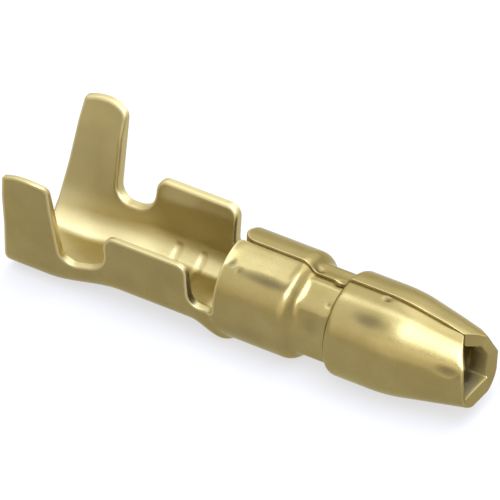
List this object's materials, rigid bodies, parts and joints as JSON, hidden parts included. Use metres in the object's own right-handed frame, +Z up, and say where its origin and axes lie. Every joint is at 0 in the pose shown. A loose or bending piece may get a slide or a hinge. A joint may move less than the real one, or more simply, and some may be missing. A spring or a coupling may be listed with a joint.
{
  "type": "crimp pin contact",
  "caption": "Male bullet crimp contact rolled from one brass sheet: insulation ears, conductor wings, collar, reduced ring and bullet with a six-sided open tip.",
  "frame": {"origin": "centre of the contact's footprint, on the surface that it lies on", "axes": "+X along the contact towards the bullet's tip, +Z up, away from the surface, ears and wings opening upwards"},
  "size_m": [0.0192, 0.0062, 0.0055],
  "materials": {
    "brass": "semi-gloss stamped and rolled brass"
  },
  "bodies": {
    "root": {"pin_contact": "brass"}
  },
  "joints": []
}
